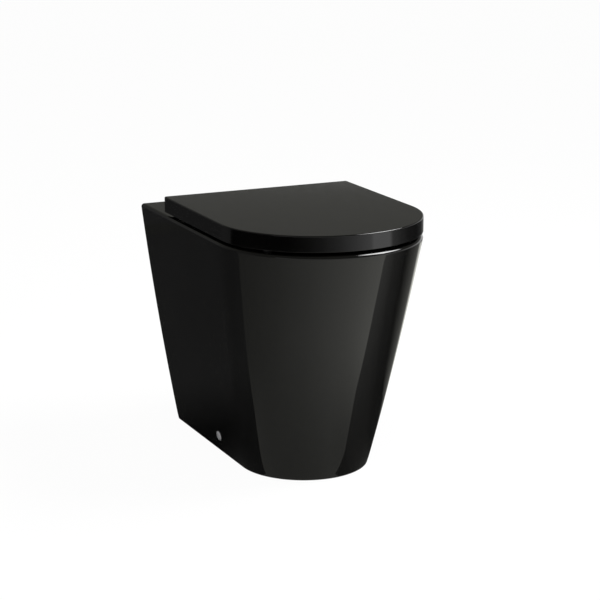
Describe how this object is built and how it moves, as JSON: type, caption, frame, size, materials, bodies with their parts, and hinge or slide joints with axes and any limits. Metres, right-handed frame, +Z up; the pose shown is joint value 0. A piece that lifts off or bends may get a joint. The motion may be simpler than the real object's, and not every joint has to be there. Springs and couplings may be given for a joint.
{
  "type": "floor-standing toilet",
  "caption": "Back-to-wall toilet pan with D-shaped plan, tapered skirt, rimless bowl, P-trap outlet and slim wrap-over soft-close seat and lid.",
  "frame": {"origin": "on the floor, under the middle of the pan's length and width", "axes": "+X across to the right seen from the front, +Y back to the wall, +Z up"},
  "size_m": [0.37, 0.56, 0.4635],
  "materials": {
    "glaze": "black glazed vitreous china, gloss",
    "seat_plastic": "black duroplast, gloss",
    "rubber": "matt",
    "chrome": "polished",
    "steel": "satin",
    "white_plastic": "satin nylon",
    "black_plastic": "satin"
  },
  "bodies": {
    "pan_assembly": {"pan": "glaze", "inlet_seal": "rubber", "hinge_post_left": "chrome", "hinge_post_right": "chrome", "hinge_pin_left": "steel", "hinge_pin_right": "steel", "post_gaskets": "rubber", "fixing_studs": "steel", "fixing_bushes": "rubber", "fixing_washers": "steel", "wing_nuts": "white_plastic", "floor_bracket_left": "white_plastic", "floor_bracket_right": "white_plastic", "side_bushes": "white_plastic", "side_screws": "steel", "screw_caps": "chrome"},
    "seat_assembly": {"seat": "seat_plastic", "seat_pads": "rubber", "seat_damper": "black_plastic", "seat_sleeve": "white_plastic"},
    "lid_assembly": {"lid": "seat_plastic", "lid_pads": "rubber", "lid_damper": "black_plastic", "lid_sleeve": "white_plastic"}
  },
  "joints": [
    {"name": "seat_hinge", "type": "hinge", "parent": "pan_assembly", "child": "seat_assembly", "pos_m": [0, 0.17, 0.452], "axis": [-1, 0, 0], "range_deg": [0, 92]},
    {"name": "lid_hinge", "type": "hinge", "parent": "seat_assembly", "child": "lid_assembly", "pos_m": [0, 0.17, 0.452], "axis": [-1, 0, 0], "range_deg": [0, 92]}
  ]
}
